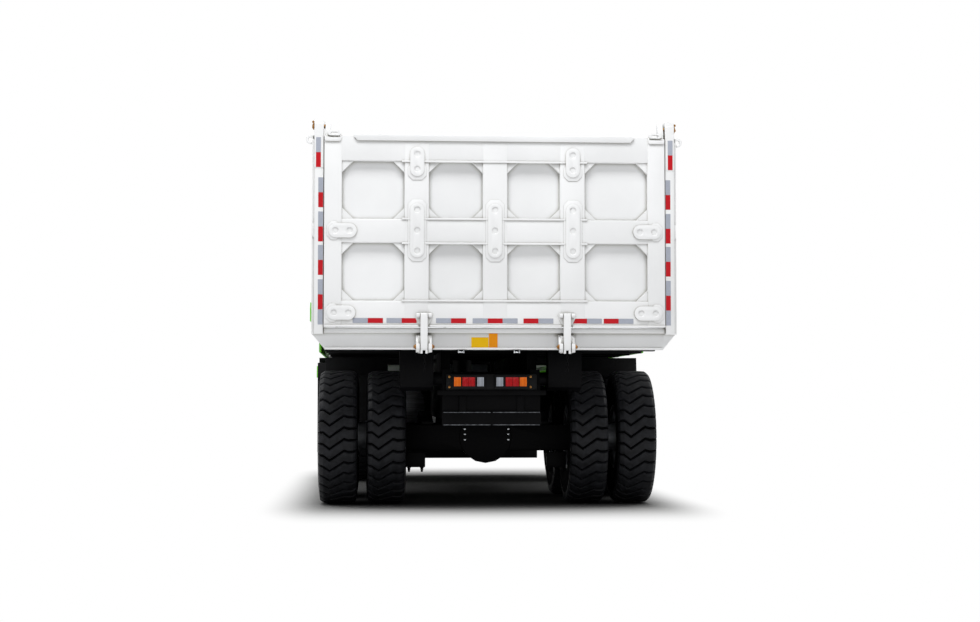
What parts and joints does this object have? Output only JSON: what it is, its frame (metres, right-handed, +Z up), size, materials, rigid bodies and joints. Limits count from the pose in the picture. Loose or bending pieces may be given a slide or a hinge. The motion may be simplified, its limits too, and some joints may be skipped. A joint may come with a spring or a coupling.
{
  "type": "mining dump truck",
  "caption": "Wide-body rigid mining dump truck with tipping body, top-hinged tailgate, steered front wheels, twin rear wheels, offset cab and telescopic hoist.",
  "frame": {"origin": "on the ground under the middle of the truck's length and width", "axes": "+Y forwards towards the cab, +X to the truck's right, +Z up"},
  "size_m": [3.96, 8.9104, 3.95],
  "materials": {
    "chassis_black": "satin black chassis paint",
    "body_white": "gloss white enamel over rolled plate",
    "accent_green": "bright green enamel",
    "tyre_rubber": "black carbon rubber",
    "rim_paint": "silver grey wheel paint",
    "black_plastic": "grained black plastic",
    "rod_chrome": "ground chromed rod",
    "cab_glass": "tinted laminated glass",
    "seat_fabric": "woven seat cloth",
    "engine_iron": "painted cast iron",
    "radiator_core": "black finned core",
    "tank_aluminium": "rolled aluminium sheet",
    "exhaust_steel": "heat-tinted steel",
    "lamp_lens": "moulded lamp lenses in a black housing"
  },
  "bodies": {
    "chassis": {"frame": "chassis_black", "middle_axle": "chassis_black", "rear_axle": "chassis_black", "rear_suspension": "chassis_black", "front_axle": "chassis_black", "front_spring_left": "chassis_black", "front_spring_right": "chassis_black", "deck": "chassis_black", "ladder": "chassis_black", "driveline": "chassis_black", "hydraulic_tank": "chassis_black", "bumper": "body_white", "cab": "body_white", "engine_hood": "body_white", "front_fender_left": "accent_green", "front_fender_right": "accent_green", "handrails": "accent_green", "mirror_left": "black_plastic", "mirror_right": "black_plastic", "dashboard": "black_plastic", "air_cleaner": "black_plastic", "windscreen": "cab_glass", "side_glass": "cab_glass", "rear_glass": "cab_glass", "driver_seat": "seat_fabric", "engine": "engine_iron", "radiator": "radiator_core", "fuel_tank": "tank_aluminium", "exhaust": "exhaust_steel", "tail_lamps": "lamp_lens"},
    "steering_left": {"steering_knuckle_left": "chassis_black"},
    "steering_right": {"steering_knuckle_right": "chassis_black"},
    "tie_rod": {"tie_rod": "chassis_black"},
    "bed": {"dump_body": "body_white", "body_underframe": "chassis_black"},
    "tailgate": {"tailgate": "body_white"},
    "latch_left": {"latch_hook_left": "body_white"},
    "latch_right": {"latch_hook_right": "body_white"},
    "hoist_barrel": {"hoist_barrel": "chassis_black"},
    "hoist_sleeve_outer": {"hoist_sleeve_outer": "rod_chrome"},
    "hoist_sleeve_inner": {"hoist_sleeve_inner": "rod_chrome"},
    "hoist_rod": {"hoist_rod": "rod_chrome"},
    "cab_door": {"cab_door": "body_white", "door_glass": "cab_glass"},
    "front_left_wheel": {"front_left_tyre": "tyre_rubber", "front_left_rim": "rim_paint"},
    "middle_left_wheels": {"middle_left_outer_tyre": "tyre_rubber", "middle_left_inner_tyre": "tyre_rubber", "middle_left_rims": "rim_paint"},
    "rear_left_wheels": {"rear_left_outer_tyre": "tyre_rubber", "rear_left_inner_tyre": "tyre_rubber", "rear_left_rims": "rim_paint"},
    "front_right_wheel": {"front_right_tyre": "tyre_rubber", "front_right_rim": "rim_paint"},
    "middle_right_wheels": {"middle_right_outer_tyre": "tyre_rubber", "middle_right_inner_tyre": "tyre_rubber", "middle_right_rims": "rim_paint"},
    "rear_right_wheels": {"rear_right_outer_tyre": "tyre_rubber", "rear_right_inner_tyre": "tyre_rubber", "rear_right_rims": "rim_paint"}
  },
  "joints": [
    {"name": "bed_tip", "type": "hinge", "parent": "chassis", "child": "bed", "pos_m": [0, -3.60515, 1.35], "axis": [1, 0, 0], "range_deg": [0, 45]},
    {"name": "tailgate_swing", "type": "hinge", "parent": "bed", "child": "tailgate", "pos_m": [0, -4.30515, 3.885], "axis": [-1, 0, 0], "range_deg": [0, 60]},
    {"name": "latch_left", "type": "hinge", "parent": "bed", "child": "latch_left", "pos_m": [-0.72, -4.42515, 1.66], "axis": [1, 0, 0], "range_deg": [0, 50]},
    {"name": "latch_right", "type": "hinge", "parent": "bed", "child": "latch_right", "pos_m": [0.72, -4.42515, 1.66], "axis": [1, 0, 0], "range_deg": [0, 50]},
    {"name": "hoist_lean", "type": "hinge", "parent": "chassis", "child": "hoist_barrel", "pos_m": [0, 2.05485, 1.13], "axis": [1, 0, 0], "range_deg": [0, 28]},
    {"name": "hoist_outer", "type": "slide", "parent": "hoist_barrel", "child": "hoist_sleeve_outer", "axis": [0, 0, 1], "range_m": [0, 1.41]},
    {"name": "hoist_inner", "type": "slide", "parent": "hoist_sleeve_outer", "child": "hoist_sleeve_inner", "axis": [0, 0, 1], "range_m": [0, 1.41]},
    {"name": "hoist_rod", "type": "slide", "parent": "hoist_sleeve_inner", "child": "hoist_rod", "axis": [0, 0, 1], "range_m": [0, 1.41]},
    {"name": "steer_left", "type": "hinge", "parent": "chassis", "child": "steering_left", "pos_m": [-1.02, 2.79485, 0.725], "axis": [0, 0, 1], "range_deg": [-32, 32]},
    {"name": "steer_right", "type": "hinge", "parent": "chassis", "child": "steering_right", "pos_m": [1.02, 2.79485, 0.725], "axis": [0, 0, 1], "range_deg": [-32, 32]},
    {"name": "tie_rod", "type": "slide", "parent": "chassis", "child": "tie_rod", "axis": [1, 0, 0], "range_m": [-0.14, 0.14]},
    {"name": "front_left_spin", "type": "hinge", "parent": "steering_left", "child": "front_left_wheel", "pos_m": [-1.45, 2.79485, 0.725], "axis": [1, 0, 0], "continuous": true},
    {"name": "middle_left_spin", "type": "hinge", "parent": "chassis", "child": "middle_left_wheels", "pos_m": [-1.34, -1.10515, 0.725], "axis": [1, 0, 0], "continuous": true},
    {"name": "rear_left_spin", "type": "hinge", "parent": "chassis", "child": "rear_left_wheels", "pos_m": [-1.34, -2.70515, 0.725], "axis": [1, 0, 0], "continuous": true},
    {"name": "front_right_spin", "type": "hinge", "parent": "steering_right", "child": "front_right_wheel", "pos_m": [1.45, 2.79485, 0.725], "axis": [1, 0, 0], "continuous": true},
    {"name": "middle_right_spin", "type": "hinge", "parent": "chassis", "child": "middle_right_wheels", "pos_m": [1.34, -1.10515, 0.725], "axis": [1, 0, 0], "continuous": true},
    {"name": "rear_right_spin", "type": "hinge", "parent": "chassis", "child": "rear_right_wheels", "pos_m": [1.34, -2.70515, 0.725], "axis": [1, 0, 0], "continuous": true},
    {"name": "cab_door_swing", "type": "hinge", "parent": "chassis", "child": "cab_door", "pos_m": [-1.872, 3.70685, 2.5], "axis": [0, 0, -1], "range_deg": [0, 70]}
  ],
  "couplings": [
    {"joint": "latch_right", "follows": "latch_left", "ratio": 1},
    {"joint": "hoist_lean", "follows": "bed_tip", "ratio": 0.61153},
    {"joint": "hoist_outer", "follows": "bed_tip", "m_per_rad": 1.7896},
    {"joint": "hoist_inner", "follows": "bed_tip", "m_per_rad": 1.7896},
    {"joint": "hoist_rod", "follows": "bed_tip", "m_per_rad": 1.7896},
    {"joint": "steer_right", "follows": "steer_left", "ratio": 1},
    {"joint": "tie_rod", "follows": "steer_left", "m_per_rad": 0.24669}
  ]
}
